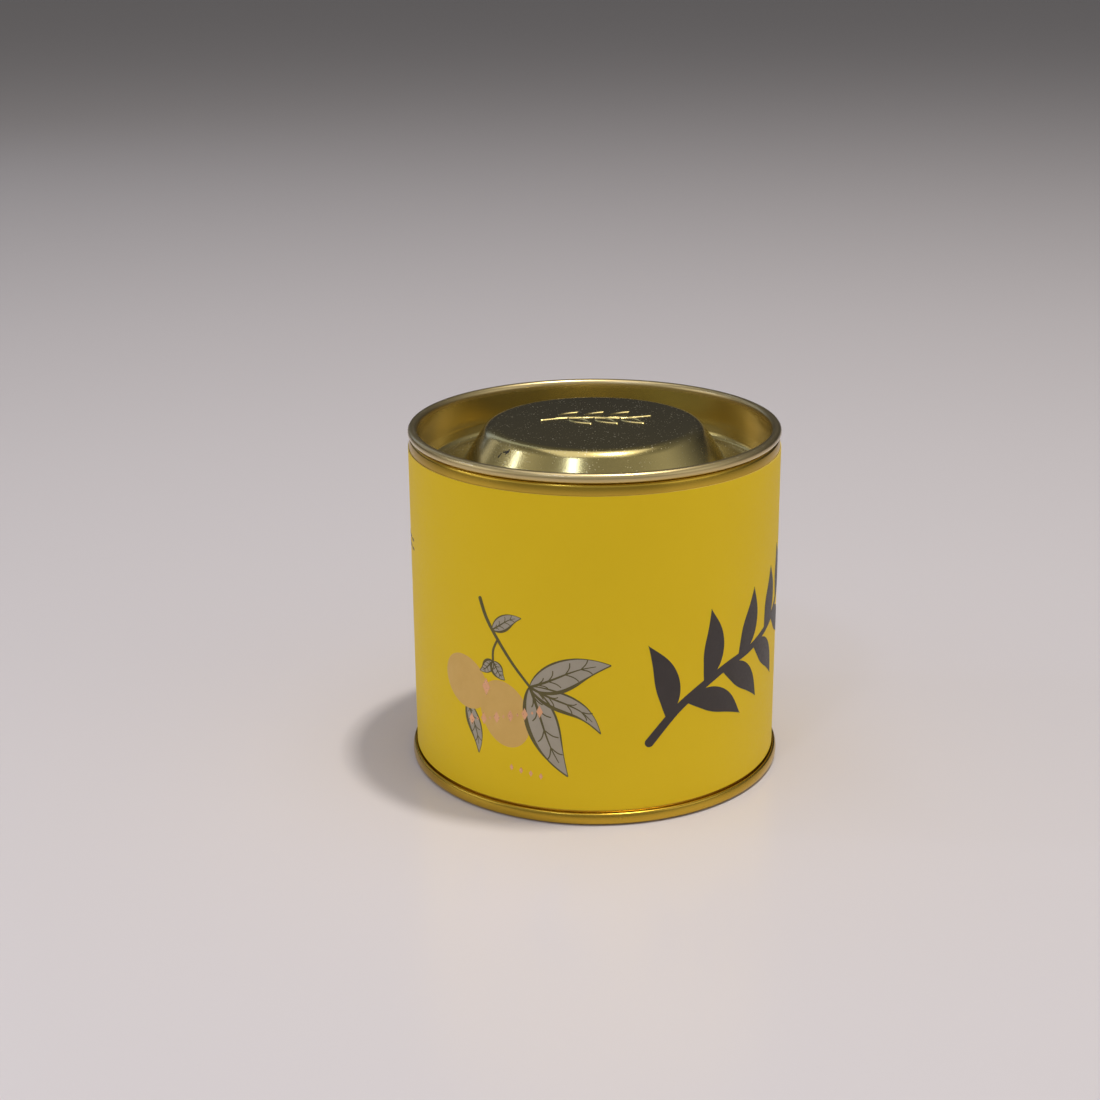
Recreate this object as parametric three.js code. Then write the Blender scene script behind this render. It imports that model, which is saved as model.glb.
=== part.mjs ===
// A lidded candle tin: seamed tinplate body, plug lid with a raised knob, paper wrap, wax and wick.
// Millimetres, +Z up. The origin is the centre of the base, on the surface the tin stands on.
import * as THREE from "three";

// Driving dimensions
const LABEL_RADIUS = 40; // outer face of the paper wrap
const LABEL_FOOT = 3.1;
const LABEL_TOP = 71;
const RIM_HEIGHT = 75.4; // top of the lid's rolled bead, and of its knob
const SHEET = 0.25; // tinplate
const PAPER = 0.15;
const GLUE_GAP = 0.05; // between paper and tinplate
const SEAM_GAP = 0.08; // between the folded layers of the double seam
const SEAM_HEIGHT = 2.6;
const CURL_RADIUS = 0.7; // the body's inward curl
const LEAN = 11.5; // degrees that the body's wall leans in, below its curl
const LEAN_RADIUS = 8;
const BEAD_RADIUS = 1.05; // the lid's rolled rim
const BEAD_CENTRE = 38.95;
const SEAT_GAP = 0.03; // between bead and curl
const CHANNEL_DEPTH = 10.7; // from the rim down to the floor of the finger channel
const CHANNEL_OUTER = 37.33;
const KNOB_EDGE = 22.7;
const KNOB_SHOULDER = 2.9; // bend radius
const KNOB_FOOT = 30;
const PLUG_TAPER_HEIGHT = 3; // the plug wall's tapered lead-in
const PANEL_HEIGHT = 3.4; // base panel above the standing surface
const PANEL_STEP = 0.6;
const PANEL_STEP_RADIUS = 31;
const WAX_DEPTH = 46;
const WAX_CLEARANCE = 0.1;
const WICK_RADIUS = 1.25;
const WICK_HEIGHT = 7; // above the wax
const TAB_RADIUS = 10;
const NECK_HEIGHT = 6;
const STICKER_RADIUS = 26;
const ADHESIVE = 0.6;

const SEGMENTS = 48; // round the axis, the same for every piece so that their facets nest
const CURL_STEPS = 8;
const BEND_STEPS = 2;

// Derived sizes. Sheet pieces are drawn along the middle of their sheet.
const HALF_SHEET = SHEET / 2;
const BODY_RADIUS = LABEL_RADIUS - PAPER - GLUE_GAP; // outer face
const BODY_MIDDLE = BODY_RADIUS - HALF_SHEET;
const BORE_RADIUS = BODY_RADIUS - SHEET;
const LAYER = SHEET + SEAM_GAP; // pitch of the seam's layers
const BEAD_HEIGHT = RIM_HEIGHT - BEAD_RADIUS;
const CURL_HEIGHT = BEAD_HEIGHT - BEAD_RADIUS - CURL_RADIUS - SEAT_GAP;
const PANEL_TOP = PANEL_HEIGHT + HALF_SHEET;
const WAX_FLOOR = PANEL_TOP + WAX_CLEARANCE;
const WAX_TOP = WAX_FLOOR + WAX_DEPTH;
const TAB_FLOOR = PANEL_TOP + GLUE_GAP + ADHESIVE + GLUE_GAP;

const point = (r, z) => new THREE.Vector2(r, z);

/** Points of an arc in the (r, z) half-plane. 0 degrees points outwards and 90 degrees up. */
function arc(r, z, radius, from, to, steps) {
  return Array.from({ length: steps + 1 }, (_, i) => {
    const angle = THREE.MathUtils.degToRad(from + ((to - from) * i) / steps);
    return point(r + radius * Math.cos(angle), z + radius * Math.sin(angle));
  });
}

/** A path through corners [r, z, bend radius], with each bent corner rounded to an arc. */
function folded(corners) {
  return corners.flatMap(([r, z, radius], i) => {
    const corner = point(r, z);
    if (!radius) return [corner];
    const back = point(...corners[i - 1]).sub(corner).normalize();
    const ahead = point(...corners[i + 1]).sub(corner).normalize();
    const half = back.angleTo(ahead) / 2;
    const centre = back.clone().add(ahead).setLength(radius / Math.sin(half)).add(corner);
    const start = back.clone().multiplyScalar(radius / Math.tan(half)).add(corner);
    const turn = -Math.sign(back.cross(ahead)) * (Math.PI - 2 * half);
    return Array.from({ length: BEND_STEPS + 1 }, (_, k) =>
      start.clone().rotateAround(centre, (turn * k) / BEND_STEPS),
    );
  });
}

/** The two faces of a sheet whose middle runs along the path, as one outline. */
function sheetOutline(path) {
  const heading = (a, b) => b.clone().sub(a).normalize();
  const face = (side) =>
    path.map((here, i) => {
      const before = heading(path[Math.max(i - 1, 0)], path[Math.max(i, 1)]);
      const after = heading(path[Math.min(i, path.length - 2)], path[Math.min(i + 1, path.length - 1)]);
      const along = before.clone().add(after).normalize();
      const mitre = (side * HALF_SHEET) / along.dot(before);
      return point(here.x - along.y * mitre, here.y + along.x * mitre);
    });
  return [...face(1), ...face(-1).reverse()];
}

/** Turns an outline about +Z. An outline that doesn't start on the axis closes on itself. */
function turned(outline) {
  const closed = outline[0].x === 0 ? outline : [...outline, outline[0]];
  return new THREE.LatheGeometry(closed.toReversed(), SEGMENTS).rotateX(Math.PI / 2);
}

function disc(radius, floor, thickness) {
  const ceiling = floor + thickness;
  return turned([point(0, ceiling), point(radius, ceiling), point(radius, floor), point(0, floor)]);
}

const painted = (color, metalness, roughness) =>
  new THREE.MeshStandardMaterial({ color, metalness, roughness });

const goldLacquer = () => painted(0xb08d3c, 0.9, 0.3);
const wrapPaper = () => painted(0xf0d02a, 0, 0.55);
const waxCream = () => painted(0xf2ead2, 0, 0.5);
const cotton = () => painted(0xe9e2cf, 0, 0.9);
const tinnedSteel = () => painted(0xbfc1c2, 0.9, 0.35);
const foam = () => painted(0xf4f4f0, 0, 0.8);
const plainPaper = () => painted(0xf3f1ea, 0, 0.6);

/** Tube rolled from sheet: curled inwards at the mouth, hooked outwards into the base seam. */
function bodyGeometry() {
  const flange = SHEET + SEAM_GAP + HALF_SHEET;
  const hook = BODY_MIDDLE + 2 * LAYER;
  const bend = 0.3;
  const curl = CURL_RADIUS - HALF_SHEET;
  const lean = THREE.MathUtils.degToRad(LEAN);
  const leanCentre = BODY_MIDDLE - LEAN_RADIUS;
  const leanHeight = CURL_HEIGHT - (LEAN_RADIUS - curl) * Math.sin(lean);
  const curlCentre = leanCentre + (LEAN_RADIUS - curl) * Math.cos(lean);
  return turned(
    sheetOutline([
      ...arc(curlCentre, CURL_HEIGHT, curl, 285, LEAN, CURL_STEPS),
      ...arc(leanCentre, leanHeight, LEAN_RADIUS, LEAN, 0, BEND_STEPS).slice(1),
      ...folded([
        [BODY_MIDDLE, leanHeight],
        [BODY_MIDDLE, flange, bend],
        [hook, flange, bend],
        [hook, SEAM_HEIGHT - 2 * SHEET],
      ]).slice(1),
    ]),
  );
}

/** Recessed bottom panel whose edge wraps round the body's hook as a double seam. */
function baseGeometry() {
  const chuckWall = BODY_MIDDLE - SHEET - GLUE_GAP;
  const endHook = BODY_MIDDLE + LAYER;
  const seamWall = BODY_MIDDLE + 3 * LAYER;
  const foldCentre = (endHook + seamWall) / 2;
  const foldHeight = SEAM_HEIGHT - HALF_SHEET - LAYER;
  return turned(
    sheetOutline([
      ...folded([
        [0, PANEL_HEIGHT],
        [PANEL_STEP_RADIUS, PANEL_HEIGHT, 0.8],
        [PANEL_STEP_RADIUS + PANEL_STEP, PANEL_HEIGHT - PANEL_STEP, 0.8],
        [chuckWall, PANEL_HEIGHT - PANEL_STEP, 0.6],
        [chuckWall, HALF_SHEET, 0.4],
        [seamWall, HALF_SHEET, 0.4],
        [seamWall, foldHeight],
      ]).slice(0, -1),
      ...arc(foldCentre, foldHeight, LAYER, 0, 180, 2 * BEND_STEPS),
      point(endHook, 3 * SHEET),
    ]),
  );
}

/** Plug lid drawn from one disc: raised knob, finger channel, plug wall and rolled bead. */
function lidGeometry() {
  const top = RIM_HEIGHT - HALF_SHEET;
  const floor = RIM_HEIGHT - CHANNEL_DEPTH - HALF_SHEET;
  const curl = BEAD_RADIUS - HALF_SHEET;
  const plugWall = BEAD_CENTRE - curl;
  return turned(
    sheetOutline([
      ...folded([
        [0, top],
        [KNOB_EDGE, top, KNOB_SHOULDER],
        [KNOB_FOOT, floor, 2],
        [CHANNEL_OUTER, floor, 1.8],
        [plugWall, floor + PLUG_TAPER_HEIGHT, 3],
        [plugWall, BEAD_HEIGHT],
      ]).slice(0, -1),
      ...arc(BEAD_CENTRE, BEAD_HEIGHT, curl, 180, -120, CURL_STEPS),
    ]),
  );
}

/** Paper wrap, wound once round the body with its far end lapped over its near end. */
function labelGeometry() {
  const pitch = 360 / SEGMENTS;
  const start = 90; // the lap is at the back, on +Y
  const edge = (radius) =>
    Array.from({ length: SEGMENTS + 3 }, (_, i) => {
      const lift = i < SEGMENTS ? 0 : PAPER + GLUE_GAP;
      const angle = THREE.MathUtils.degToRad(start + i * pitch);
      return point((radius + lift) * Math.cos(angle), (radius + lift) * Math.sin(angle));
    });
  const outline = new THREE.Shape([...edge(LABEL_RADIUS), ...edge(LABEL_RADIUS - PAPER).reverse()]);
  return new THREE.ExtrudeGeometry(outline, {
    depth: LABEL_TOP - LABEL_FOOT,
    bevelEnabled: false,
  }).translate(0, 0, LABEL_FOOT);
}

/** Wax poured round the wick, its tab and its adhesive dot, with a meniscus at the wall. */
function waxGeometry() {
  const meniscus = 0.6;
  const outer = BORE_RADIUS - WAX_CLEARANCE;
  const wick = WICK_RADIUS + WAX_CLEARANCE;
  const neck = WICK_RADIUS + 2 * SHEET + WAX_CLEARANCE;
  const tab = TAB_RADIUS + WAX_CLEARANCE;
  const overTab = TAB_FLOOR + SHEET + WAX_CLEARANCE;
  const overNeck = TAB_FLOOR + NECK_HEIGHT + WAX_CLEARANCE;
  return turned([
    point(wick, WAX_TOP + meniscus / 2),
    point(wick + 2 * meniscus, WAX_TOP),
    point(outer - 3 * meniscus, WAX_TOP),
    point(outer, WAX_TOP + meniscus),
    point(outer, WAX_FLOOR),
    point(tab, WAX_FLOOR),
    point(tab, overTab),
    point(neck, overTab),
    point(neck, overNeck),
    point(wick, overNeck),
  ]);
}

/** Sustainer tab: a flat disc with a neck that is crimped on the wick. */
function tabGeometry() {
  const inner = WICK_RADIUS + GLUE_GAP;
  const outer = WICK_RADIUS + 2 * SHEET;
  return turned([
    point(inner, TAB_FLOOR + NECK_HEIGHT),
    point(outer, TAB_FLOOR + NECK_HEIGHT),
    point(outer, TAB_FLOOR + SHEET),
    point(TAB_RADIUS, TAB_FLOOR + SHEET),
    point(TAB_RADIUS, TAB_FLOOR),
    point(inner, TAB_FLOOR),
  ]);
}

function wickGeometry() {
  return disc(WICK_RADIUS, TAB_FLOOR, WAX_TOP + WICK_HEIGHT - TAB_FLOOR);
}

function adhesiveGeometry() {
  return disc(TAB_RADIUS - 2, PANEL_TOP + GLUE_GAP, ADHESIVE);
}

function stickerGeometry() {
  return disc(STICKER_RADIUS, PANEL_HEIGHT - HALF_SHEET - GLUE_GAP - PAPER, PAPER);
}

function piece(name, geometry, material) {
  const mesh = new THREE.Mesh(geometry, material);
  mesh.name = name;
  return mesh;
}

const tin = new THREE.Group();
tin.add(
  piece("tin_body", bodyGeometry(), goldLacquer()),
  piece("base_end", baseGeometry(), goldLacquer()),
  piece("label", labelGeometry(), wrapPaper()),
  piece("base_sticker", stickerGeometry(), plainPaper()),
  piece("wax_fill", waxGeometry(), waxCream()),
  piece("wick", wickGeometry(), cotton()),
  piece("wick_tab", tabGeometry(), tinnedSteel()),
  piece("wick_adhesive_dot", adhesiveGeometry(), foam()),
);

const candleTin = new THREE.Group();
candleTin.add(tin, piece("lid", lidGeometry(), goldLacquer()));

export default candleTin;
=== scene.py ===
import math

import bmesh
import bpy
from mathutils import Matrix, Vector


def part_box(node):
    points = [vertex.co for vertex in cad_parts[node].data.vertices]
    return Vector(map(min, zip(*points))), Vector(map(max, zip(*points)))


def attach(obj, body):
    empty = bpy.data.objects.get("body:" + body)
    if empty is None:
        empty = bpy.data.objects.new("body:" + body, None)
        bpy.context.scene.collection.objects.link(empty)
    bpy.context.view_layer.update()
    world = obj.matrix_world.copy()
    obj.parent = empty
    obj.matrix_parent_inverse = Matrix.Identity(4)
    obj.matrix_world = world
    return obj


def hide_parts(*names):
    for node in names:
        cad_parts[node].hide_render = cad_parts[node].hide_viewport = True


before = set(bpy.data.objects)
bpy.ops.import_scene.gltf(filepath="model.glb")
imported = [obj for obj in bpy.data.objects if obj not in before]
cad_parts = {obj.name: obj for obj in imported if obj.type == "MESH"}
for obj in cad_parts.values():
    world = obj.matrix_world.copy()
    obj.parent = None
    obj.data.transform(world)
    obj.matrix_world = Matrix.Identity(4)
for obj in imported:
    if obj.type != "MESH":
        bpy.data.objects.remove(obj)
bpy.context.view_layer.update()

# Sizes below are in millimetres and become metres as a mesh is made.
MM = 0.001

# Read from the frame
WRAP_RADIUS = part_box("label")[1].x / MM
WRAP_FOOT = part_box("label")[0].z / MM
WRAP_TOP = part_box("label")[1].z / MM
RIM_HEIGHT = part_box("lid")[1].z / MM
WAX_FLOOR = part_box("wax_fill")[0].z / MM
WICK_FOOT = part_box("wick")[0].z / MM
WICK_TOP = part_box("wick")[1].z / MM
WICK_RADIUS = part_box("wick")[1].x / MM
TAB_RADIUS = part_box("wick_tab")[1].x / MM
TAB_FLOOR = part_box("wick_tab")[0].z / MM
NECK_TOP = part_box("wick_tab")[1].z / MM
DOT_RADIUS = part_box("wick_adhesive_dot")[1].x / MM
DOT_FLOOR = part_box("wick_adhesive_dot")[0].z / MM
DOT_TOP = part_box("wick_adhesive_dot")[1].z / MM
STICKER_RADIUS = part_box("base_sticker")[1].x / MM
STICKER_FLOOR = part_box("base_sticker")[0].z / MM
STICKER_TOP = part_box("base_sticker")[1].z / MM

# Sizes that the frame's sheet pieces are built to
SHEET = 0.25
HALF_SHEET = SHEET / 2
PAPER = 0.15
GLUE_GAP = 0.05
SEAM_HEIGHT = 2.6
LAYER = SHEET + 0.08  # from the middle of one of the seam's layers to the next
PANEL_HEIGHT = 3.4
PANEL_STEP = 0.6
PANEL_STEP_RADIUS = 31
CURL_RADIUS = 0.7
LEAN = 11.5  # degrees by which the body leans inwards below its curl
LEAN_RADIUS = 8
BEAD_RADIUS = 1.05
BEAD_CENTRE = 38.95
SEAT_GAP = 0.03  # between the bead and the curl
CHANNEL_DEPTH = 10.7
CHANNEL_EDGE = 37.33
KNOB_FOOT = 30
WICK_HEIGHT = 7  # above the wax
WAX_CLEARANCE = 0.1

# Sizes that only the visual model has
KNOB_EDGE = 22.75
KNOB_SHOULDER = 3.3  # bend radius
SEAM_BULGE = 3.3  # radius of the seam's outer wall
WELD_HALF = 1.5
WELD_STEP = 0.07

BODY_RADIUS = WRAP_RADIUS - PAPER - GLUE_GAP
BODY_MIDDLE = BODY_RADIUS - HALF_SHEET
BORE_RADIUS = BODY_RADIUS - SHEET
BEAD_HEIGHT = RIM_HEIGHT - BEAD_RADIUS
CURL_HEIGHT = BEAD_HEIGHT - BEAD_RADIUS - CURL_RADIUS - SEAT_GAP
CHANNEL_FLOOR = RIM_HEIGHT - CHANNEL_DEPTH - HALF_SHEET
WAX_TOP = WICK_TOP - WICK_HEIGHT

# Centre and reach of each place where the lid's lacquer is chipped
LID_CHIPS = (((-19.0, -15.4, 73.0), 3.0), ((22.5, 9.5, 74), 2.4))

# How finely the meshes are divided
SEGMENTS = 320
BEND_STEPS = 8
CURL_STEPS = 36
BLADE_STEPS = 40
BLADE_COLUMNS = 6
SHARP_ANGLE = 40


# ---------------------------------------------------------------- outlines in the (r, z) half-plane

def arc(r, z, radius, start, end, steps):
    """Points of an arc. 0 degrees points outwards and 90 degrees up."""
    angles = [math.radians(start + (end - start) * i / steps) for i in range(steps + 1)]
    return [(r + radius * math.cos(a), z + radius * math.sin(a)) for a in angles]


def folded(corners, steps=BEND_STEPS):
    """A path through corners (r, z, bend radius), with each bent corner rounded to an arc."""
    path = []
    for i, (r, z, *bend) in enumerate(corners):
        if not bend:
            path.append((r, z))
            continue
        corner = Vector((r, z))
        back = (Vector(corners[i - 1][:2]) - corner).normalized()
        ahead = (Vector(corners[i + 1][:2]) - corner).normalized()
        half = back.angle(ahead) / 2
        centre = corner + (back + ahead).normalized() * bend[0] / math.sin(half)
        spoke = corner + back * bend[0] / math.tan(half) - centre
        side = -1 if back.x * ahead.y - back.y * ahead.x > 0 else 1
        turn = side * (math.pi - 2 * half)
        for k in range(steps + 1):
            path.append(tuple(centre + Matrix.Rotation(turn * k / steps, 2) @ spoke))
    return path


def sheet_outline(path):
    """The two faces of a sheet whose middle runs along the path, as one outline."""
    points = [Vector(p) for p in path]
    last = len(points) - 1
    faces = {1: [], -1: []}
    for i, here in enumerate(points):
        before = (points[max(i, 1)] - points[max(i - 1, 0)]).normalized()
        after = (points[min(i + 1, last)] - points[min(i, last - 1)]).normalized()
        along = (before + after).normalized()
        reach = HALF_SHEET / along.dot(before)
        for side, face in faces.items():
            face.append((here.x - along.y * side * reach, here.y + along.x * side * reach))
    return faces[1] + faces[-1][::-1]


# ---------------------------------------------------------------- meshes

def make_object(name, verts, faces, materials, face_materials=None):
    """A smooth-shaded object from vertices in millimetres."""
    mesh = bpy.data.meshes.new(name)
    mesh.from_pydata([Vector(v) * MM for v in verts], [], faces)
    for material in materials:
        mesh.materials.append(material)
    if face_materials:
        mesh.polygons.foreach_set("material_index", face_materials)
    mesh.polygons.foreach_set("use_smooth", [True] * len(mesh.polygons))
    mesh.set_sharp_from_angle(angle=math.radians(SHARP_ANGLE))
    mesh.validate()
    piece = bpy.data.objects.new(name, mesh)
    bpy.context.scene.collection.objects.link(piece)
    return piece


def around(radius, degrees, height):
    """A point at an angle round the tin: 0 is the front, and 90 the right-hand side."""
    angle = math.radians(degrees)
    return (radius * math.sin(angle), -radius * math.cos(angle), height)


def turned(name, outline, material, segments=SEGMENTS, shift=None):
    """Turns an outline about +Z. shift(r, z, degrees) may move a vertex in or out and up or down."""
    verts, rings = [], []
    for r, z in outline:
        if r < 1e-6:
            rings.append([len(verts)] * segments)
            verts.append((0, 0, z))
            continue
        rings.append(range(len(verts), len(verts) + segments))
        for k in range(segments):
            degrees = 360 * k / segments
            dr, dz = shift(r, z, degrees) if shift else (0, 0)
            verts.append(around(r + dr, degrees, z + dz))
    on_axis = outline[0][0] < 1e-6
    faces = []
    for i in range(len(outline) - 1 if on_axis else len(outline)):
        lower, upper = rings[i], rings[(i + 1) % len(outline)]
        for k in range(segments):
            n = (k + 1) % segments
            corners = [upper[k], upper[n], lower[n], lower[k]]
            faces.append(list(dict.fromkeys(corners)))
    return make_object(name, verts, faces, [material])


def smooth_path(points, steps):
    """A curve through the points, as (point, length so far), with its steps closer together at both ends."""
    fine_steps = 24
    ends = [points[0]] + list(points) + [points[-1]]
    fine = []
    for i in range(1, len(ends) - 2):
        p = [Vector(q) for q in ends[i - 1:i + 3]]
        for k in range(fine_steps):
            t = k / fine_steps
            fine.append(0.5 * (
                2 * p[1] + (p[2] - p[0]) * t + (2 * p[0] - 5 * p[1] + 4 * p[2] - p[3]) * t * t
                + (3 * p[1] - p[0] - 3 * p[2] + p[3]) * t * t * t
            ))
    fine.append(Vector(points[-1]))
    lengths = [0]
    for a, b in zip(fine, fine[1:]):
        lengths.append(lengths[-1] + (b - a).length)
    path, j = [], 0
    for i in range(steps + 1):
        want = lengths[-1] * (1 - math.cos(math.pi * i / steps)) / 2
        while j < len(fine) - 2 and lengths[j + 1] < want:
            j += 1
        share = (want - lengths[j]) / (lengths[j + 1] - lengths[j])
        path.append((fine[j].lerp(fine[j + 1], min(share, 1)), want))
    return path


def band(points, half_width, steps=40, columns=4, round_ends=True):
    """Rows (u, v, s) across a band along a curve, where s runs from -1 to 1 across it.

    half_width(t) gives the band's half width at a share t of its length.
    """
    blunt = 0.12
    path = smooth_path(points, steps)
    total = path[-1][1]
    rows = []
    for i, (here, reached) in enumerate(path):
        ahead = path[min(i + 1, steps)][0] - path[max(i - 1, 0)][0]
        heading = ahead.normalized()
        half = half_width(reached / total)
        if round_ends:
            from_end = min(reached, total - reached)
            if from_end < half:
                half *= max(math.sqrt(1 - (1 - from_end / half) ** 2), blunt)
        side = Vector((-heading.y, heading.x)) * half
        across = [2 * c / columns - 1 for c in range(columns + 1)]
        rows.append([(here.x + side.x * s, here.y + side.y * s, s) for s in across])
    return rows


def plates(name, all_rows, place, material):
    """Thin closed plates, one for each grid of rows. place(u, v, s, top) gives a point in 3-D."""
    verts, faces = [], []
    for rows in all_rows:
        start = len(verts)
        across, down = len(rows[0]), len(rows)
        layer = across * down

        def grid(i, j, top):
            return start + (0 if top else layer) + i * across + j

        for top in (True, False):
            verts += [place(u, v, s, top) for row in rows for u, v, s in row]
        for i in range(down - 1):
            for j in range(across - 1):
                square = [(i, j), (i, j + 1), (i + 1, j + 1), (i + 1, j)]
                faces.append([grid(a, b, True) for a, b in square])
                faces.append([grid(a, b, False) for a, b in reversed(square)])
        rim = [(0, j) for j in range(across - 1)] + [(i, across - 1) for i in range(down - 1)]
        rim += [(down - 1, j) for j in range(across - 1, 0, -1)] + [(i, 0) for i in range(down - 1, 0, -1)]
        for a, b in zip(rim, rim[1:] + rim[:1]):
            faces.append([grid(*b, True), grid(*a, True), grid(*a, False), grid(*b, False)])
    piece = make_object(name, verts, faces, [material])
    face_outwards(piece)
    return piece


def face_outwards(piece):
    """Turns every closed shell's faces outwards."""
    shell = bmesh.new()
    shell.from_mesh(piece.data)
    bmesh.ops.recalc_face_normals(shell, faces=shell.faces)
    shell.to_mesh(piece.data)
    shell.free()


# ---------------------------------------------------------------- materials

class Nodes:
    """A material's node tree, with the few kinds of node that these materials share."""

    def __init__(self, name):
        self.material = bpy.data.materials.new(name)
        self.material.use_nodes = True
        self.tree = self.material.node_tree
        self.shader = self.tree.nodes["Principled BSDF"]
        self.where = self.tree.nodes.new("ShaderNodeTexCoord").outputs["Object"]

    def set(self, **values):
        for name, value in values.items():
            self.shader.inputs[name.replace("_", " ")].default_value = value

    def link(self, output, socket):
        self.tree.links.new(output, self.shader.inputs[socket])

    def stretched(self, scale):
        mapping = self.tree.nodes.new("ShaderNodeMapping")
        mapping.inputs["Scale"].default_value = scale
        self.tree.links.new(self.where, mapping.inputs["Vector"])
        return mapping.outputs["Vector"]

    def noise(self, scale, detail=4, roughness=0.5, where=None):
        node = self.tree.nodes.new("ShaderNodeTexNoise")
        node.inputs["Scale"].default_value = scale
        node.inputs["Detail"].default_value = detail
        node.inputs["Roughness"].default_value = roughness
        self.tree.links.new(where or self.where, node.inputs["Vector"])
        return node.outputs["Fac"]

    def ramp(self, value, stops):
        """Maps a value through (position, colour) stops."""
        node = self.tree.nodes.new("ShaderNodeValToRGB")
        elements = node.color_ramp.elements
        while len(elements) < len(stops):
            elements.new(0.5)
        for element, (position, colour) in zip(elements, stops):
            element.position = position
            element.color = (*colour, 1)
        self.tree.links.new(value, node.inputs["Fac"])
        return node.outputs["Color"]

    def spread(self, value, low, high, source=(0.3, 0.7)):
        """Maps a value from the source range to low and high, and no further."""
        node = self.tree.nodes.new("ShaderNodeMapRange")
        node.inputs["From Min"].default_value = source[0]
        node.inputs["From Max"].default_value = source[1]
        node.inputs["To Min"].default_value = low
        node.inputs["To Max"].default_value = high
        self.tree.links.new(value, node.inputs["Value"])
        return node.outputs["Result"]

    def mix(self, share, first, second):
        """A blend of two colours, each a socket or a plain colour."""
        node = self.tree.nodes.new("ShaderNodeMix")
        node.data_type = "RGBA"
        self.tree.links.new(share, node.inputs["Factor"])
        for socket, colour in ((node.inputs[6], first), (node.inputs[7], second)):
            if isinstance(colour, tuple):
                socket.default_value = (*colour, 1)
            else:
                self.tree.links.new(colour, socket)
        return node.outputs[2]

    def math(self, operation, *values):
        node = self.tree.nodes.new("ShaderNodeMath")
        node.operation = operation
        for socket, value in zip(node.inputs, values):
            if isinstance(value, (int, float)):
                socket.default_value = value
            else:
                self.tree.links.new(value, socket)
        return node.outputs["Value"]

    def axes(self, output):
        node = self.tree.nodes.new("ShaderNodeSeparateXYZ")
        self.tree.links.new(output, node.inputs["Vector"])
        return node.outputs

    def radius(self):
        """The distance from the tin's axis, in metres."""
        x, y, _ = self.axes(self.where)
        return self.math("SQRT", self.math("ADD", self.math("MULTIPLY", x, x), self.math("MULTIPLY", y, y)))

    def bump(self, height, strength, distance):
        node = self.tree.nodes.new("ShaderNodeBump")
        node.inputs["Strength"].default_value = strength
        node.inputs["Distance"].default_value = distance
        self.tree.links.new(height, node.inputs["Height"])
        self.link(node.outputs["Normal"], "Normal")


def lacquer_shader(n, dark, light, coat, haze):
    """Satin tinplate with a faint rolled grain under a clear coat. Gives its tone and roughness."""
    n.set(Metallic=1.0, Coat_Weight=coat, Coat_Roughness=0.18, Coat_IOR=1.5)
    tone = n.ramp(n.noise(30, detail=2), [(0.35, dark), (0.65, light)])
    broad = n.spread(n.noise(45, detail=3), -0.012, 0.012)
    rough = n.math("ADD", broad, n.spread(n.noise(5000, detail=2), haze - 0.02, haze + 0.02))
    grain = n.noise(1, detail=2, where=n.stretched((400, 9000, 9000)))
    n.bump(grain, 0.03, 0.00005)
    return tone, rough


def dust_specks(n, scale, size, spread_from):
    """Round specks up to size cells across, scattered more thickly in some patches."""
    specks = n.tree.nodes.new("ShaderNodeTexVoronoi")
    specks.inputs["Scale"].default_value = scale
    n.tree.links.new(n.where, specks.inputs["Vector"])
    reach = n.spread(n.noise(scale * 2.7, detail=0), 0, size)
    speck = n.math("LESS_THAN", specks.outputs["Distance"], reach)
    patches = n.spread(n.noise(240, detail=3), 0, 1, source=(spread_from, spread_from + 0.2))
    return n.math("MULTIPLY", speck, patches)


def chipped(n, centre, reach):
    """Where the lacquer is chipped: ragged flakes within reach of a place."""
    place = n.tree.nodes.new("ShaderNodeVectorMath")
    place.operation = "DISTANCE"
    place.inputs[1].default_value = [v * MM for v in centre]
    n.tree.links.new(n.where, place.inputs[0])
    near = n.spread(place.outputs["Value"], 0.16, -0.26, source=(0, reach * MM))
    flakes = n.noise(1, detail=4, where=n.stretched((1300, 1300, 300)))
    return n.spread(n.math("ADD", flakes, near), 0, 1, source=(0.585, 0.60))


def lid_lacquer(name):
    """The lid's paler lacquer: duller on its bead, dusty where it faces up, and chipped in two places."""
    n = Nodes(name)
    tone, rough = lacquer_shader(n, (0.56, 0.44, 0.14), (0.60, 0.475, 0.16), 0.8, 0.21)
    outside = n.spread(n.radius(), 0, 1, source=((BEAD_CENTRE - 1.3) * MM, (BEAD_CENTRE - 1.1) * MM))
    raised = n.spread(n.axes(n.where)["Z"], 0, 1, source=((BEAD_HEIGHT - 1) * MM, BEAD_HEIGHT * MM))
    bead = n.math("MULTIPLY", outside, raised)
    tone = n.mix(bead, tone, (0.59, 0.455, 0.20))
    rough = n.math("ADD", rough, n.math("MULTIPLY", bead, 0.13))
    upward = n.axes(n.tree.nodes.new("ShaderNodeNewGeometry").outputs["Normal"])["Z"]
    flat = n.spread(upward, 0, 1, source=(0.3, 0.95))
    fine = dust_specks(n, 1500, 0.26, 0.35)
    large = dust_specks(n, 600, 0.13, 0.44)
    dust = n.math("MULTIPLY", n.math("MAXIMUM", fine, large), flat)
    tone = n.mix(n.math("MULTIPLY", dust, 0.8), tone, (0.62, 0.58, 0.46))
    rough = n.math("ADD", rough, n.math("MULTIPLY", dust, 0.35))
    chips = n.math("MAXIMUM", *(chipped(n, centre, reach) for centre, reach in LID_CHIPS))
    n.link(n.mix(chips, tone, (0.035, 0.028, 0.018)), "Base Color")
    n.link(n.math("ADD", rough, n.math("MULTIPLY", chips, 0.3)), "Roughness")
    return n.material


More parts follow.
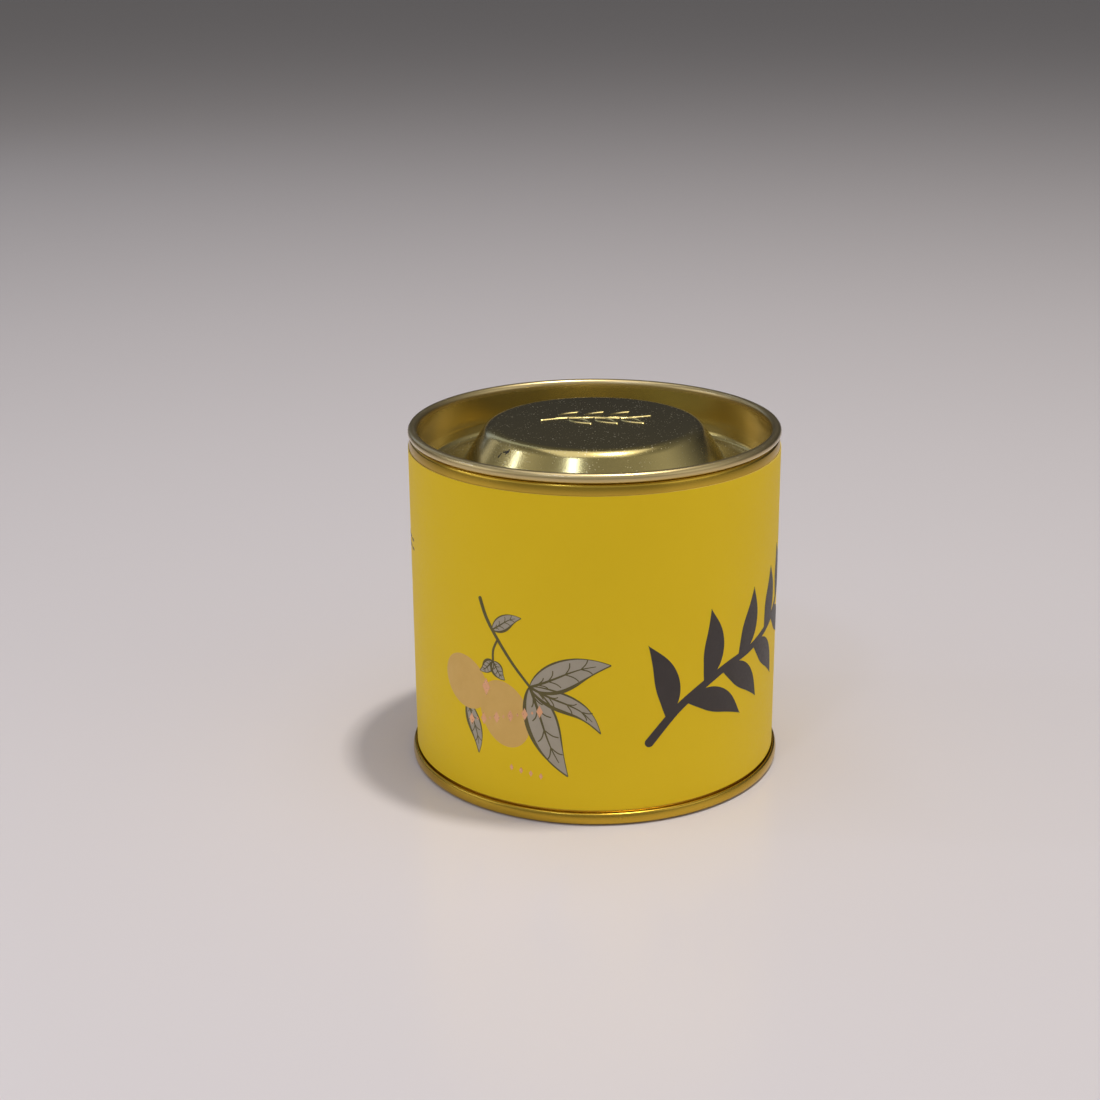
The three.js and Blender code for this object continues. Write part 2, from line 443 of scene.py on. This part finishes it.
def body_lacquer(name, welded=False):
    """The deeper gold of the body and base. The body has a bare welded stripe down its back."""
    n = Nodes(name)
    tone, rough = lacquer_shader(n, (0.57, 0.365, 0.036), (0.62, 0.405, 0.046), 0.15, 0.25)
    if welded:
        place = n.axes(n.where)
        aside = n.math("ABSOLUTE", place["X"])
        behind = n.spread(place["Y"], 0, 1, source=(30 * MM, 31 * MM))
        stripe = n.spread(aside, 1, 0, source=((WELD_HALF - 0.4) * MM, WELD_HALF * MM))
        line = n.spread(aside, 1, 0, source=(0.3 * MM, 0.42 * MM))
        tone = n.mix(n.math("MULTIPLY", stripe, behind), tone, (0.46, 0.43, 0.37))
        tone = n.mix(n.math("MULTIPLY", line, behind), tone, (0.20, 0.185, 0.16))
    n.link(tone, "Base Color")
    n.link(rough, "Roughness")
    return n.material


def wrap_paper():
    """Satin-coated yellow paper: faint fibre relief and a slight unevenness of the ink."""
    n = Nodes("wrap_paper")
    n.shader.inputs["Specular IOR Level"].default_value = 0.28
    tone = n.noise(45, detail=5)
    n.link(n.ramp(tone, [(0.3, (0.94, 0.64, 0.006)), (0.7, (0.96, 0.66, 0.008))]), "Base Color")
    n.link(n.spread(n.noise(1600, detail=4), 0.46, 0.58), "Roughness")
    fibres = n.noise(1, detail=5, where=n.stretched((1800, 1800, 900)))
    n.bump(fibres, 0.10, 0.0001)
    return n.material


def paper_edge():
    """The wrap's bare cut edges, paler than its printed face."""
    n = Nodes("paper_edge")
    n.set(Roughness=0.9)
    n.link(n.ramp(n.noise(4000), [(0.3, (0.80, 0.62, 0.13)), (0.7, (0.87, 0.70, 0.20))]), "Base Color")
    return n.material


def ink(name, dark, light, roughness, metallic=0.0, grain=0.08):
    """Printed ink or foil: two close tones with a fine grain, over the paper's relief."""
    n = Nodes(name)
    n.set(Metallic=metallic)
    n.link(n.ramp(n.noise(260, detail=6, roughness=0.6), [(0.3, dark), (0.7, light)]), "Base Color")
    n.link(n.spread(n.noise(1600), roughness - 0.05, roughness + 0.07), "Roughness")
    n.bump(n.noise(2200, detail=3), grain, 0.0001)
    return n.material


def sticker_paper():
    """Uncoated white paper with one plain printed ring."""
    n = Nodes("sticker_paper")
    n.set(Roughness=0.75)
    off = n.math("ABSOLUTE", n.math("SUBTRACT", n.radius(), (STICKER_RADIUS - 2.5) * MM))
    ring = n.spread(off, 1, 0, source=(0.18 * MM, 0.26 * MM))
    paper = n.ramp(n.noise(300, detail=6), [(0.3, (0.78, 0.76, 0.70)), (0.7, (0.84, 0.82, 0.77))])
    n.link(n.mix(ring, paper, (0.10, 0.075, 0.06)), "Base Color")
    n.bump(n.noise(2400, detail=5), 0.15, 0.0001)
    return n.material


def candle_wax():
    """Cream vegetable wax: cloudy, slightly frosted, with light scattered under its surface."""
    n = Nodes("wax")
    n.set(Subsurface_Weight=0.6, Subsurface_Scale=0.004, Roughness=0.45)
    n.shader.inputs["Subsurface Radius"].default_value = (1.0, 0.75, 0.45)
    frost = n.noise(130, detail=8, roughness=0.62)
    n.link(n.ramp(frost, [(0.35, (0.87, 0.79, 0.61)), (0.65, (0.91, 0.85, 0.70))]), "Base Color")
    n.link(n.spread(n.noise(420, detail=5), 0.35, 0.6), "Roughness")
    n.bump(n.noise(260, detail=7), 0.25, 0.0003)
    return n.material


def waxed_cotton():
    """Cotton yarn soaked in wax, with its fibres along the wick."""
    n = Nodes("waxed_cotton")
    n.set(Subsurface_Weight=0.2, Subsurface_Scale=0.001)
    tones = [(0.3, (0.66, 0.58, 0.43)), (0.7, (0.82, 0.76, 0.62))]
    n.link(n.ramp(n.noise(1800, detail=5), tones), "Base Color")
    n.link(n.spread(n.noise(900), 0.5, 0.75), "Roughness")
    n.bump(n.noise(1, detail=4, where=n.stretched((6000, 6000, 1200))), 0.4, 0.0001)
    return n.material


def tinned_steel():
    """Bare tinned steel with a brushed grain."""
    n = Nodes("tinned_steel")
    n.set(Metallic=1.0)
    n.link(n.ramp(n.noise(200), [(0.3, (0.58, 0.59, 0.60)), (0.7, (0.68, 0.69, 0.70))]), "Base Color")
    n.link(n.spread(n.noise(900, detail=5), 0.25, 0.4), "Roughness")
    n.bump(n.noise(1, where=n.stretched((4000, 300, 300))), 0.08, 0.0001)
    return n.material


def adhesive_foam():
    """White foam with fine pores."""
    n = Nodes("adhesive_foam")
    n.set(Roughness=0.85)
    n.link(n.ramp(n.noise(900), [(0.3, (0.82, 0.82, 0.79)), (0.7, (0.90, 0.90, 0.88))]), "Base Color")
    n.bump(n.noise(3200, detail=2), 0.4, 0.0001)
    return n.material


# ---------------------------------------------------------------- tinplate pieces

def tin_body():
    """Rolled tube with its inward curl, its base hook and the lapped weld at the back."""
    flange = LAYER + HALF_SHEET
    hook = BODY_MIDDLE + 2 * LAYER
    curl = CURL_RADIUS - HALF_SHEET
    lean_centre = BODY_MIDDLE - LEAN_RADIUS
    lean_height = CURL_HEIGHT - (LEAN_RADIUS - curl) * math.sin(math.radians(LEAN))
    curl_centre = lean_centre + (LEAN_RADIUS - curl) * math.cos(math.radians(LEAN))
    path = arc(curl_centre, CURL_HEIGHT, curl, 285, LEAN, CURL_STEPS)
    path += arc(lean_centre, lean_height, LEAN_RADIUS, LEAN, 0, BEND_STEPS)[1:]
    path += folded([
        (BODY_MIDDLE, lean_height),
        (BODY_MIDDLE, flange, 0.3),
        (hook, flange, 0.3),
        (hook, SEAM_HEIGHT - 2 * SHEET),
    ])[1:]
    weld_half = math.degrees(WELD_HALF / BODY_RADIUS)

    def weld(r, z, degrees):
        """The weld stands slightly proud on the inside."""
        inside = r < BODY_MIDDLE and SEAM_HEIGHT < z < lean_height + 0.01
        return (-WELD_STEP if inside and abs(degrees - 180) < weld_half else 0, 0)

    lacquer = body_lacquer("gold_lacquer_body", welded=True)
    piece = turned("tin_body_shell", sheet_outline(path), lacquer, shift=weld)
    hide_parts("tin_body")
    return piece


def base_end():
    """Recessed panel and the outer layers of the double seam, whose outer wall bulges slightly."""
    chuck_wall = BODY_MIDDLE - SHEET - GLUE_GAP
    end_hook = BODY_MIDDLE + LAYER
    seam_wall = BODY_MIDDLE + 3 * LAYER
    fold_centre = (end_hook + seam_wall) / 2
    fold_height = SEAM_HEIGHT - HALF_SHEET - LAYER
    fold_from = 20
    bulge_centre = fold_centre - (SEAM_BULGE - LAYER) * math.cos(math.radians(fold_from))
    bulge_height = fold_height - (SEAM_BULGE - LAYER) * math.sin(math.radians(fold_from))
    outer_wall = arc(bulge_centre, bulge_height, SEAM_BULGE, -2, fold_from, BEND_STEPS)
    path = folded([
        (0, PANEL_HEIGHT),
        (PANEL_STEP_RADIUS, PANEL_HEIGHT, 0.8),
        (PANEL_STEP_RADIUS + PANEL_STEP, PANEL_HEIGHT - PANEL_STEP, 0.8),
        (chuck_wall, PANEL_HEIGHT - PANEL_STEP, 0.6),
        (chuck_wall, HALF_SHEET, 0.4),
        (outer_wall[0][0] - 0.02, HALF_SHEET, 0.7),
        outer_wall[0],
    ])
    path += outer_wall[1:]
    path += arc(fold_centre, fold_height, LAYER, fold_from, 180, 2 * BEND_STEPS)[1:]
    path.append((end_hook, 3 * SHEET))
    piece = turned("base_end_shell", sheet_outline(path), body_lacquer("gold_lacquer_base"))
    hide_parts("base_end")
    return piece


def lid():
    """Knob, finger channel, plug wall and rolled bead, drawn from one disc."""
    top = RIM_HEIGHT - HALF_SHEET
    curl = BEAD_RADIUS - HALF_SHEET
    plug_wall = BEAD_CENTRE - curl
    path = folded([
        (0, top),
        (KNOB_EDGE, top, KNOB_SHOULDER),
        (KNOB_FOOT, CHANNEL_FLOOR, 2),
        (CHANNEL_EDGE, CHANNEL_FLOOR, 1.8),
        (plug_wall, CHANNEL_FLOOR + 3, 3),
        (plug_wall, BEAD_HEIGHT),
    ])[:-1]
    path += arc(BEAD_CENTRE, BEAD_HEIGHT, curl, 180, -120, CURL_STEPS)
    piece = turned("lid_shell", sheet_outline(path), lid_lacquer("gold_lacquer_lid"))
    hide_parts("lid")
    return piece


def leaf_loop(root, tip, half_width, line):
    """The two sides of a pointed leaf, each as a band of the given half width."""
    along = tip - root
    side = Vector((-along.y, along.x)).normalized() * half_width
    sides = []
    for way in (1, -1):
        edge = [root, root + along * 0.3 + side * way * 0.9, root + along * 0.65 + side * way * 0.75, tip]
        sides.append(band(edge, lambda t: line, steps=28, columns=6))
    return sides


def knob_emboss():
    """A plain sprig raised in the knob's top: soft-edged lines that run out into the flat."""
    height, line = 0.2, 0.32
    rim_lift, foot_depth = 0.004, 0.1

    def raised(u, v, s, top):
        bell = (1 + math.cos(math.pi * s)) / 2
        return (u, v, RIM_HEIGHT + (rim_lift + height * bell if top else -foot_depth))

    stem = [Vector((-11.5, 1.5)), Vector((-6, 3.2)), Vector((0, 3.4)), Vector((6, 2.8)), Vector((12.5, 4.5))]
    lines = [band(stem, lambda t: line, steps=80, columns=6)]
    for x, way in ((-8.2, 1), (-5.6, -1), (-2.6, 1), (0, -1), (3.0, 1), (5.6, -1)):
        root = Vector((x, 3.2))
        tip = root + Vector((5.0, way * 4.8))
        lines += leaf_loop(root, tip, 1.5, line)
    return plates("lid_emboss", lines, raised, lid_lacquer("gold_lacquer_emboss"))


# ---------------------------------------------------------------- paper and print

def paper_wrap():
    """The wrap, wound once round the body with its far end lapped over its near end."""
    lap_from, lap_to, ease = 360, 375, 7.5
    steps = SEGMENTS
    verts, faces, face_materials = [], [], []
    for i in range(steps + 1):
        turn = lap_to * i / steps
        rise = min(max((turn - lap_from + ease) / ease, 0), 1)
        lift = (PAPER + GLUE_GAP) * rise * rise * (3 - 2 * rise)
        outer = WRAP_RADIUS + lift
        inner = outer - PAPER
        for r, z in ((inner, WRAP_FOOT), (outer, WRAP_FOOT), (outer, WRAP_TOP), (inner, WRAP_TOP)):
            verts.append(around(r, turn + 180, z))
    for i in range(steps):
        a, b = 4 * i, 4 * i + 4
        for k in range(4):
            n = (k + 1) % 4
            faces.append([a + k, b + k, b + n, a + n])
            face_materials.append(0 if k in (1, 3) else 1)
    faces += [[3, 2, 1, 0], [4 * steps + k for k in range(4)]]
    face_materials += [1, 1]
    piece = make_object("label_wrap", verts, faces, [wrap_paper(), paper_edge()], face_materials)
    face_outwards(piece)
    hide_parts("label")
    return piece


def on_wrap(height):
    """Places flat artwork, in millimetres round and up the wrap, at a height above the paper."""
    sunk = 0.02

    def place(u, v, s, top):
        return around(WRAP_RADIUS + (height if top else -sunk), math.degrees(u / WRAP_RADIUS), v)

    return place


def spot(degrees, height):
    """A place on the wrap as millimetres round it and up it."""
    return Vector((math.radians(degrees) * WRAP_RADIUS, height))


def brush_leaf(root, tip, half_width, sag):
    """A leaf's blade, its midrib bowed to one side by sag and turned back at the tip."""
    along = tip - root
    side = Vector((-along.y, along.x)).normalized()
    rib = []
    rib_steps = 6
    for k in range(rib_steps + 1):
        t = k / rib_steps
        rib.append(root + along * t + side * sag * (math.sin(math.pi * t) - 0.3 * math.sin(2 * math.pi * t)))
    swell = lambda t: max(half_width * math.sin(math.pi * t ** 0.74) ** 0.95, 0.02)
    return rib, band(rib, swell, steps=BLADE_STEPS, columns=BLADE_COLUMNS, round_ends=False)


def leaf_lines(rib, blade, weight):
    """Pen lines over a leaf: a heavy and a light edge, the midrib, and veins on both sides."""
    lines = []
    for edge, share in ((0, 1.0), (-1, 0.5)):
        border = [Vector(row[edge][:2]) for row in blade[::4]]
        pen = lambda t, w=weight * share: w * (0.35 + 0.65 * math.sin(math.pi * min(1.35 * t, 1)))
        lines.append(band(border, pen, steps=40, columns=2))
    lines.append(band(rib[:-1], lambda t: weight * (0.75 - 0.55 * t), steps=30, columns=2))
    onward = (rib[-1] - rib[0]) * 0.11
    for share in (0.2, 0.34, 0.48, 0.62):
        row = blade[int(share * BLADE_STEPS)]
        middle = Vector(row[BLADE_COLUMNS // 2][:2])
        for edge in (0, -1):
            reach = middle.lerp(Vector(row[edge][:2]), 0.72) + onward
            bow = middle.lerp(reach, 0.5) + onward * 0.2
            lines.append(band([middle, bow, reach], lambda t: weight * 0.3, steps=10, columns=2))
    return lines


def oval(top, foot, half_width):
    """A round fruit's outline, from its top to its foot."""
    round_off = lambda t: max(half_width * math.sqrt(max(1 - (2 * t - 1) ** 2, 0)), 0.03)
    return band([top, top.lerp(foot, 0.5), foot], round_off, steps=40, columns=12, round_ends=False)


def printed_sprig():
    """A sprig of plain leaves with two round fruits, in grey, olive and apricot inks.

    A leaf is its root, its tip, its half width, its sag and the weight of its lines.
    """
    joint = spot(-20.5, 29.8)
    stem = [spot(-37, 47.6), spot(-34.6, 43.2), spot(-30.2, 38.4), spot(-25.8, 34.2), joint]
    twig_end = spot(-32.6, 34.0)
    leaves = [
        (joint, spot(3.5, 35.4), 3.1, 1.0, 0.40),
        (joint, spot(0.5, 20.4), 1.9, 1.7, 0.40),
        (joint, spot(-9.2, 10.6), 3.3, -0.8, 0.46),
        (spot(-32.6, 41), spot(-23, 44.5), 1.5, 0.5, 0.26),
        (twig_end, spot(-37.4, 31.3), 1.2, 0.3, 0.28),
        (twig_end, spot(-28.6, 30.4), 1.3, -0.3, 0.28),
    ]
    low_leaf = (spot(-42.5, 23.5), spot(-38.5, 12.4), 1.7, 0.6, 0.34)
    lines = [band(stem, lambda t: 0.42 - 0.16 * t, steps=60, columns=3)]
    twig = [spot(-30.8, 39), spot(-32.4, 36.6), twig_end]
    lines.append(band(twig, lambda t: 0.24, steps=20, columns=2))
    blades = []
    for root, tip, half_width, sag, weight in leaves:
        rib, blade = brush_leaf(root, tip, half_width, sag)
        blades.append(blade)
        lines += leaf_lines(rib, blade, weight)
    rib, behind = brush_leaf(*low_leaf[:4])
    behind_lines = leaf_lines(rib, behind, low_leaf[4])
    fruits = [
        oval(spot(-50, 32.0), spot(-36.5, 23.6), 5.5),
        oval(spot(-32.5, 29.8), spot(-25.5, 15.8), 5.7),
    ]
    grey = ink("ink_grey", (0.43, 0.375, 0.275), (0.49, 0.43, 0.325), 0.5)
    olive = ink("ink_olive", (0.105, 0.085, 0.02), (0.15, 0.12, 0.03), 0.5)
    apricot = ink("ink_apricot", (0.80, 0.485, 0.115), (0.85, 0.53, 0.14), 0.5)
    return [
        plates("print_low_leaf", [behind], on_wrap(0.015), grey),
        plates("print_low_leaf_lines", behind_lines, on_wrap(0.022), olive),
        plates("print_fruits", fruits, on_wrap(0.030), apricot),
        plates("print_leaves", blades, on_wrap(0.038), grey),
        plates("print_leaf_lines", lines, on_wrap(0.046), olive),
    ]


def printed_branch():
    """A bold branch in dark brush strokes, bending round the right-hand side."""
    stem = [
        spot(14, 17), spot(25, 25), spot(40, 30.5), spot(56, 33),
        spot(72, 37), spot(88, 45), spot(99, 54),
    ]
    steps = 100
    path = smooth_path(stem, steps)
    strokes = [band(stem, lambda t: 1.0 - 0.5 * t, steps=120, columns=4)]
    count, opening, longest = 13, 58, 17.5
    for k in range(count):
        share = 0.10 + 0.88 * k / (count - 1)
        i = round(steps * math.acos(1 - 2 * share) / math.pi)
        here = path[i][0]
        ahead = (path[i + 2][0] - path[i - 2][0]).normalized()
        way = 1 if k % 2 == 0 else -1
        turn = math.radians(way * opening) if k < count - 1 else 0
        reach = Matrix.Rotation(turn, 2) @ ahead * (longest - 0.6 * k)
        bow = Vector((-reach.y, reach.x)) * 0.10 * way
        leaf_path = [here, here + reach * 0.3 - bow, here + reach * 0.65 - bow, here + reach]
        swell = lambda t: max(2.7 * math.sin(math.pi * t ** 0.85) ** 1.1, 0.55 * (1 - t), 0.06)
        strokes.append(band(leaf_path, swell, steps=48, columns=6, round_ends=False))
    brown = ink("ink_brown", (0.036, 0.026, 0.021), (0.046, 0.034, 0.028), 0.42, grain=0.05)
    return plates("print_branch", strokes, on_wrap(0.035), brown)


def lozenge(centre, half_width, half_height):
    """An upright diamond."""
    ends = [centre - Vector((0, half_height)), centre, centre + Vector((0, half_height))]
    straight = lambda t: max(half_width * (1 - abs(2 * t - 1)), 0.03)
    return band(ends, straight, steps=8, columns=4, round_ends=False)


def printed_lozenges():
    """Copper foil lozenges where a label carries its small print."""
    rows = [lozenge(spot(-35.2, 28), 1.0, 1.9)]
    for start, end, count, half_width, half_height in (
        (spot(-41, 19.7), spot(-17.6, 24.6), 6, 0.72, 1.35),
        (spot(-38.7, 20.2), spot(-19.9, 24.1), 5, 0.28, 0.4),
        (spot(-26.8, 11.1), spot(-17.4, 10.1), 4, 0.42, 0.72),
    ):
        for k in range(count):
            rows.append(lozenge(start.lerp(end, k / (count - 1)), half_width, half_height))
    copper = ink("foil_copper", (0.80, 0.42, 0.22), (0.88, 0.48, 0.27), 0.3, metallic=0.7, grain=0.03)
    return plates("print_foil_lozenges", rows, on_wrap(0.055), copper)


def printed_dashes():
    """Short brown rules on the left, in place of small print."""
    rows = []
    middle, end = Vector((1.1, 0)), Vector((2.2, 0))
    for height in (50.2, 52.2):
        for k in range(9):
            left = spot(-112 + 4.2 * k, height)
            rule = [left, left + middle, left + end]
            rows.append(band(rule, lambda t: 0.28, steps=8, columns=2))
    rust = ink("ink_rust", (0.16, 0.075, 0.018), (0.20, 0.095, 0.026), 0.5)
    return plates("print_dashes", rows, on_wrap(0.035), rust)


def base_sticker():
    """A round paper sticker under the base panel."""
    rim = 0.04
    outline = folded([
        (0, STICKER_TOP),
        (STICKER_RADIUS, STICKER_TOP, rim),
        (STICKER_RADIUS, STICKER_FLOOR, rim),
        (0, STICKER_FLOOR),
    ], steps=3)
    piece = turned("base_sticker_disc", outline, sticker_paper(), segments=160)
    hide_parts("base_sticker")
    return piece


# ---------------------------------------------------------------- candle

def wax_fill():
    """Wax with a meniscus at the wall and the wick, and a gently uneven surface."""
    outer = BORE_RADIUS - WAX_CLEARANCE
    wick = WICK_RADIUS - 0.15
    neck = WICK_RADIUS + 2 * SHEET + WAX_CLEARANCE
    tab = TAB_RADIUS + WAX_CLEARANCE
    over_tab = TAB_FLOOR + SHEET + WAX_CLEARANCE
    over_neck = NECK_TOP + WAX_CLEARANCE
    surface = []
    steps = 44
    for i in range(steps + 1):
        r = wick + (outer - wick) * i / steps
        creep = 0.3 * math.exp(-(r - wick) / 0.8) + 0.6 * math.exp(-(outer - r) / 0.9)
        surface.append((r, WAX_TOP + creep))
    outline = surface + [
        (outer, WAX_FLOOR),
        (tab, WAX_FLOOR),
        (tab, over_tab),
        (neck, over_tab),
        (neck, over_neck),
        (wick, over_neck),
    ]

    def ripple(r, z, degrees):
        if z < WAX_TOP - 0.01:
            return (0, 0)
        a = math.radians(degrees)
        calm = min((outer - r) / 3, (r - wick) / 3, 1)
        wave = math.sin(2 * a + r * 0.11) * math.sin(r * 0.19) + 0.6 * math.sin(3 * a - r * 0.23)
        return (0, 0.11 * max(calm, 0) * wave)

    piece = turned("wax_candle", outline, candle_wax(), segments=192, shift=ripple)
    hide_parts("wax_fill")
    return piece


def wick():
    """A round plait of six waxed strands round a plain core, each strand tapered at its ends."""
    strands, strand_radius, pitch, sides = 6, 0.44, 5.2, 10
    plait_radius = WICK_RADIUS - strand_radius - 0.02
    height = WICK_TOP - WICK_FOOT
    steps = 260
    verts, faces = [], []
    for k in range(strands):
        start = len(verts)
        direction = 1 if k % 2 else -1
        for i in range(steps + 1):
            z = WICK_FOOT + height * i / steps
            phase = 2 * math.pi * (direction * (z - WICK_FOOT) / pitch + (k // 2) / 3)
            weave = plait_radius * (0.8 + 0.2 * math.cos(3 * phase + math.pi * (k % 2)))
            centre = Vector((weave * math.cos(phase), weave * math.sin(phase), z))
            taper = 1 if 0 < i < steps else 0.35
            for s in range(sides):
                angle = 2 * math.pi * s / sides
                spread = Vector((math.cos(angle), math.sin(angle), 0)) * strand_radius * taper
                verts.append(centre + spread)
        for i in range(steps):
            for s in range(sides):
                n = (s + 1) % sides
                a, b = start + i * sides, start + (i + 1) * sides
                faces.append([a + s, a + n, b + n, b + s])
        faces.append([start + s for s in reversed(range(sides))])
        faces.append([start + steps * sides + s for s in range(sides)])
    core, rim = plait_radius + 0.08, 24
    start = len(verts)
    for z in (WICK_FOOT + 0.05, WICK_TOP - 0.25):
        verts += [around(core, 360 * s / rim, z) for s in range(rim)]
    for s in range(rim):
        n = (s + 1) % rim
        faces.append([start + s, start + n, start + rim + n, start + rim + s])
    faces.append([start + s for s in reversed(range(rim))])
    faces.append([start + rim + s for s in range(rim)])
    piece = make_object("wick_plait", verts, faces, [waxed_cotton()])
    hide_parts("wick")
    return piece


def wick_tab():
    """A flat steel disc with a neck crimped on the wick."""
    inner = WICK_RADIUS + GLUE_GAP
    outer = WICK_RADIUS + 2 * SHEET
    outline = folded([
        (inner, NECK_TOP),
        (outer, NECK_TOP),
        (outer, TAB_FLOOR + SHEET, 0.6),
        (TAB_RADIUS, TAB_FLOOR + SHEET, 0.1),
        (TAB_RADIUS, TAB_FLOOR, 0.1),
        (inner, TAB_FLOOR),
    ], steps=4)
    piece = turned("wick_tab_disc", outline, tinned_steel(), segments=128)
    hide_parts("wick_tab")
    return piece


def wick_adhesive_dot():
    """The foam dot that holds the tab on the base panel."""
    outline = folded([
        (0, DOT_TOP),
        (DOT_RADIUS, DOT_TOP, 0.15),
        (DOT_RADIUS, DOT_FLOOR, 0.15),
        (0, DOT_FLOOR),
    ], steps=4)
    piece = turned("wick_dot_foam", outline, adhesive_foam(), segments=128)
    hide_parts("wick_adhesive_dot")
    return piece


# ---------------------------------------------------------------- stage

def floor():
    """A plain pale table top."""
    n = Nodes("floor")
    n.set(Base_Color=(0.75, 0.695, 0.675, 1), Roughness=0.22)
    n.shader.inputs["Specular IOR Level"].default_value = 0.35
    size = 6
    height = -0.05 * MM
    mesh = bpy.data.meshes.new("floor")
    corners = [(-size, -size, height), (size, -size, height), (size, size, height), (-size, size, height)]
    mesh.from_pydata(corners, [], [(0, 1, 2, 3)])
    mesh.materials.append(n.material)
    plane = bpy.data.objects.new("floor", mesh)
    bpy.context.scene.collection.objects.link(plane)


def softbox(name, azimuth, elevation, distance, size, radiance, colour=(1, 1, 1)):
    """A rectangular light that faces the tin. Azimuth 0 is the camera's side and 90 its right."""
    light = bpy.data.lights.new(name, "AREA")
    light.shape = "RECTANGLE"
    light.size, light.size_y = size
    light.energy = radiance * math.pi * size[0] * size[1]
    light.color = colour
    lamp = bpy.data.objects.new(name, light)
    reach = distance * math.cos(math.radians(elevation))
    height = distance * math.sin(math.radians(elevation))
    target = Vector((0, 0, 70 * MM))
    lamp.location = target + Vector(around(reach, azimuth, height))
    lamp.rotation_euler = (target - lamp.location).to_track_quat("-Z", "Y").to_euler()
    bpy.context.scene.collection.objects.link(lamp)


def room():
    """A dim room, lighter on the camera's side and darker along the horizon and overhead."""
    world = bpy.data.worlds.new("room")
    world.use_nodes = True
    tree = world.node_tree
    direction = tree.nodes.new("ShaderNodeTexCoord").outputs["Generated"]
    towards = tree.nodes.new("ShaderNodeVectorMath")
    towards.operation = "DOT_PRODUCT"
    towards.inputs[1].default_value = (-0.05, -0.95, 0.3)
    tree.links.new(direction, towards.inputs[0])
    front = tree.nodes.new("ShaderNodeMapRange")
    front.interpolation_type = "SMOOTHSTEP"
    front.inputs["From Min"].default_value = -0.7
    front.inputs["From Max"].default_value = 0.5
    front.inputs["To Min"].default_value = 0.14
    front.inputs["To Max"].default_value = 1.05
    tree.links.new(towards.outputs["Value"], front.inputs["Value"])
    height = tree.nodes.new("ShaderNodeSeparateXYZ")
    tree.links.new(direction, height.inputs["Vector"])
    bands = tree.nodes.new("ShaderNodeValToRGB")
    stops = bands.color_ramp.elements
    for position, level in ((0.12, 0.22), (0.34, 0.42), (0.62, 0.54), (0.76, 0.24)):
        stop = stops.new(position)
        stop.color = (level, level, level, 1)
    stops[0].color = (0.16, 0.16, 0.16, 1)
    stops[-1].color = (0.12, 0.12, 0.12, 1)
    tree.links.new(height.outputs["Z"], bands.inputs["Fac"])
    strength = tree.nodes.new("ShaderNodeMath")
    strength.operation = "MULTIPLY"
    tree.links.new(bands.outputs["Color"], strength.inputs[0])
    tree.links.new(front.outputs["Result"], strength.inputs[1])
    background = tree.nodes["Background"]
    background.inputs["Color"].default_value = (1, 1, 1.03, 1)
    tree.links.new(strength.outputs["Value"], background.inputs["Strength"])
    bpy.context.scene.world = world


def lighting():
    """Soft lights whose reflections shape the tin's gold, in a dim room."""
    softbox("key", 86, 80, 1.35, (0.1, 0.1), 270, (1, 0.965, 0.92))
    softbox("ceiling", 0, 89.9, 1.37, (1.3, 1.2), 1.05, (0.97, 0.97, 1.09))
    softbox("front", -28, 51.5, 1.0, (0.11, 0.10), 13, (0.82, 0.97, 1.5))
    softbox("left", -94, 34, 1.0, (0.05, 0.10), 11, (0.82, 0.95, 1.5))
    softbox("window", -146, 33, 1.2, (0.22, 1.1), 0.5, (0.78, 0.93, 1.2))
    softbox("side", -130, 19, 1.2, (0.22, 0.3), 0.5)
    softbox("low_left", -80, 18, 1.2, (0.8, 0.6), 0.62, (1, 0.98, 0.96))
    softbox("low_right", 60, 18, 1.2, (0.8, 0.6), 0.47, (1, 0.98, 0.96))
    room()
    bpy.context.scene.view_settings.view_transform = "Standard"


def camera():
    """The photograph's viewing angle: from the front and 19 degrees above, turned by half a degree."""
    pitch, roll = math.radians(18.9), math.radians(-0.478)
    distance, aim, sideways = 0.4055, 0.0464, 0.0097
    ahead = Vector((0, math.cos(pitch), -math.sin(pitch)))
    right = Vector((1, 0, 0))
    up = right.cross(ahead)
    across = right * math.cos(roll) + up * math.sin(roll)
    upward = up * math.cos(roll) - right * math.sin(roll)
    place = Vector((0, 0, aim)) - ahead * distance - right * sideways
    data = bpy.data.cameras.new("camera")
    data.lens = 60.43
    data.clip_start = 0.01
    view = bpy.data.objects.new("camera", data)
    view.matrix_world = Matrix((across, upward, -ahead)).transposed().to_4x4()
    view.location = place
    bpy.context.scene.collection.objects.link(view)
    bpy.context.scene.camera = view


# ---------------------------------------------------------------- assembly

camera()
lighting()
floor()

for shell, finish_slot in (
    (tin_body(), "gold_lacquer"),
    (base_end(), "gold_lacquer"),
    (paper_wrap(), "wrap_paper"),
    (base_sticker(), "sticker_paper"),
    (wax_fill(), "wax"),
    (wick(), "cotton"),
    (wick_tab(), "tinned_steel"),
    (wick_adhesive_dot(), "adhesive_foam"),
):
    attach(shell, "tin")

for print_piece in (*printed_sprig(), printed_branch(), printed_lozenges(), printed_dashes()):
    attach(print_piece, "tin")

for lid_piece in (lid(), knob_emboss()):
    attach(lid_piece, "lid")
